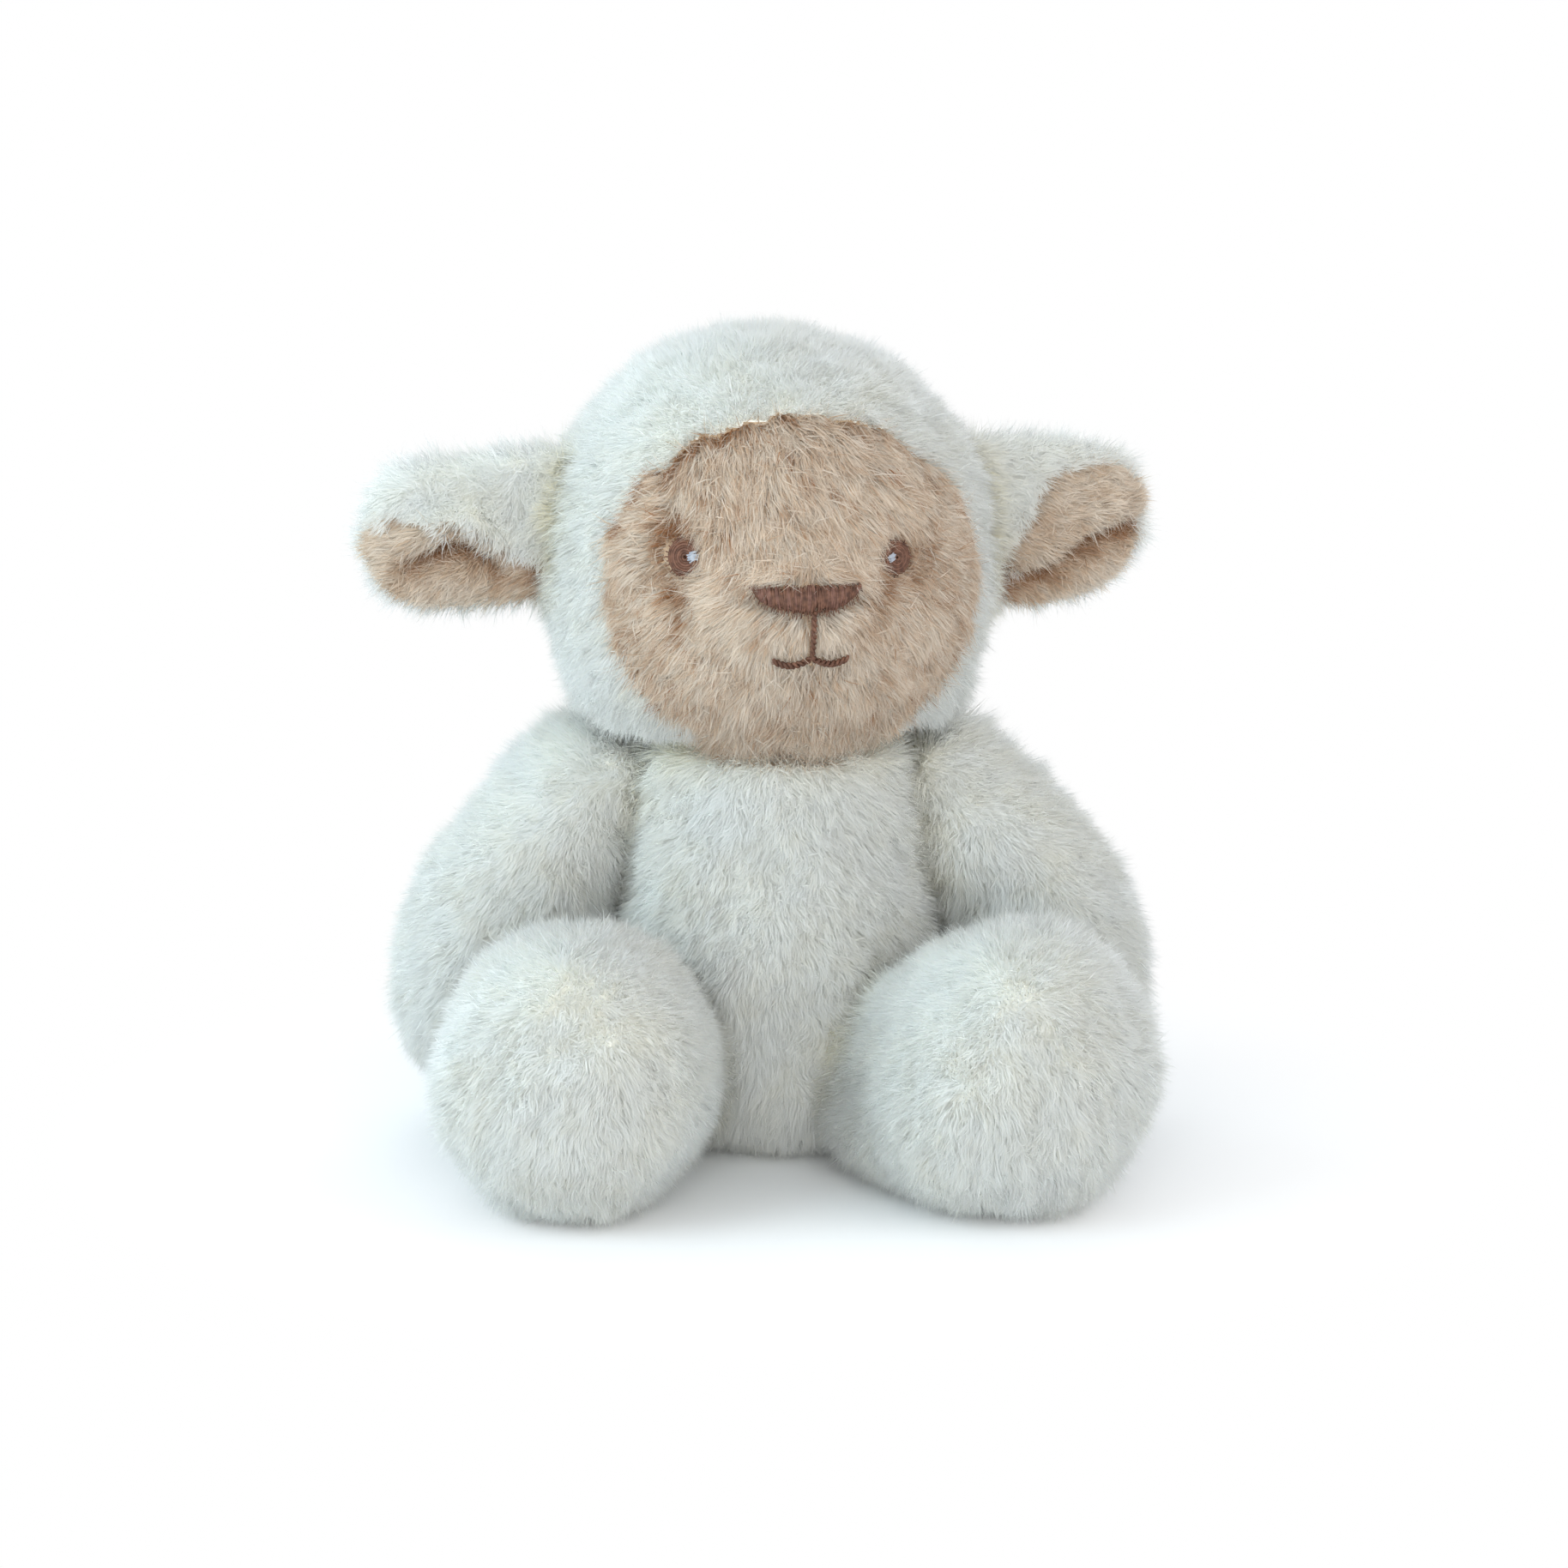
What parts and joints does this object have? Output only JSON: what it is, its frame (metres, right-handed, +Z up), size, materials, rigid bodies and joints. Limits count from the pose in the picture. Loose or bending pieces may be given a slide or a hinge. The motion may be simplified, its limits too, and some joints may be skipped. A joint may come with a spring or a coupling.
{
  "type": "plush sheep",
  "caption": "Seated plush sheep with shaggy white pile, a tan face, side-standing ears and soft limbs that swing at their seams",
  "frame": {"origin": "middle of the flat seat panel, on the surface the sheep sits on", "axes": "+Z up, the face looks along -Y, and +X is on the right of someone facing the sheep"},
  "size_m": [0.2259, 0.2018, 0.234],
  "materials": {
    "white_pile": "matte",
    "tan_pile": "matte",
    "brown_thread": "matte",
    "polyester_filling": "matte",
    "pellet_cloth": "matte"
  },
  "bodies": {
    "torso": {"tummy_panel": "white_pile", "back_left_panel": "white_pile", "back_right_panel": "white_pile", "seat_panel": "white_pile", "body_filling": "polyester_filling", "seat_bean_bag": "pellet_cloth"},
    "head": {"forehead_panel": "tan_pile", "head_filling": "polyester_filling", "nose_stitching": "brown_thread", "mouth_stitching": "brown_thread", "hood_left_panel": "white_pile", "cheek_left_panel": "tan_pile", "eye_left_stitching": "brown_thread", "hood_right_panel": "white_pile", "cheek_right_panel": "tan_pile", "eye_right_stitching": "brown_thread"},
    "tail": {"tail_skin": "white_pile", "tail_filling": "polyester_filling"},
    "ear_left": {"ear_left_back": "white_pile", "ear_left_lining": "tan_pile"},
    "arm_left": {"arm_left_front_panel": "white_pile", "arm_left_back_panel": "white_pile", "arm_left_filling": "polyester_filling"},
    "leg_left": {"leg_left_upper_panel": "white_pile", "leg_left_lower_panel": "white_pile", "leg_left_filling": "polyester_filling", "foot_left_bean_bag": "pellet_cloth"},
    "ear_right": {"ear_right_back": "white_pile", "ear_right_lining": "tan_pile"},
    "arm_right": {"arm_right_front_panel": "white_pile", "arm_right_back_panel": "white_pile", "arm_right_filling": "polyester_filling"},
    "leg_right": {"leg_right_upper_panel": "white_pile", "leg_right_lower_panel": "white_pile", "leg_right_filling": "polyester_filling", "foot_right_bean_bag": "pellet_cloth"}
  },
  "joints": [
    {"name": "neck_turn", "type": "hinge", "parent": "torso", "child": "head", "pos_m": [-0.0035, 0, 0.12], "axis": [0, 0, 1], "range_deg": [-25, 25], "stiffness_Nm_per_rad": 0.6},
    {"name": "ear_left_swing", "type": "hinge", "parent": "head", "child": "ear_left", "pos_m": [-0.06285, -0.01757, 0.18], "axis": [0, 0, 1], "range_deg": [-35, 35], "stiffness_Nm_per_rad": 0.02},
    {"name": "arm_left_raise", "type": "hinge", "parent": "torso", "child": "arm_left", "pos_m": [-0.046, -0.002, 0.1015], "axis": [0, 1, 0], "range_deg": [0, 45], "stiffness_Nm_per_rad": 0.3},
    {"name": "leg_left_swing", "type": "hinge", "parent": "torso", "child": "leg_left", "pos_m": [-0.038, -0.038, 0.031], "axis": [1, 0, 0], "range_deg": [-10, 35], "stiffness_Nm_per_rad": 1.2},
    {"name": "ear_right_swing", "type": "hinge", "parent": "head", "child": "ear_right", "pos_m": [0.05828, 0.00379, 0.18], "axis": [0, 0, -1], "range_deg": [-35, 35], "stiffness_Nm_per_rad": 0.02},
    {"name": "arm_right_raise", "type": "hinge", "parent": "torso", "child": "arm_right", "pos_m": [0.046, -0.002, 0.1015], "axis": [0, -1, 0], "range_deg": [0, 45], "stiffness_Nm_per_rad": 0.3},
    {"name": "leg_right_swing", "type": "hinge", "parent": "torso", "child": "leg_right", "pos_m": [0.038, -0.038, 0.031], "axis": [1, 0, 0], "range_deg": [-10, 35], "stiffness_Nm_per_rad": 1.2},
    {"name": "tail_flick", "type": "hinge", "parent": "torso", "child": "tail", "pos_m": [0, 0.044, 0.034], "axis": [1, 0, 0], "range_deg": [-4, 30], "stiffness_Nm_per_rad": 0.02}
  ]
}
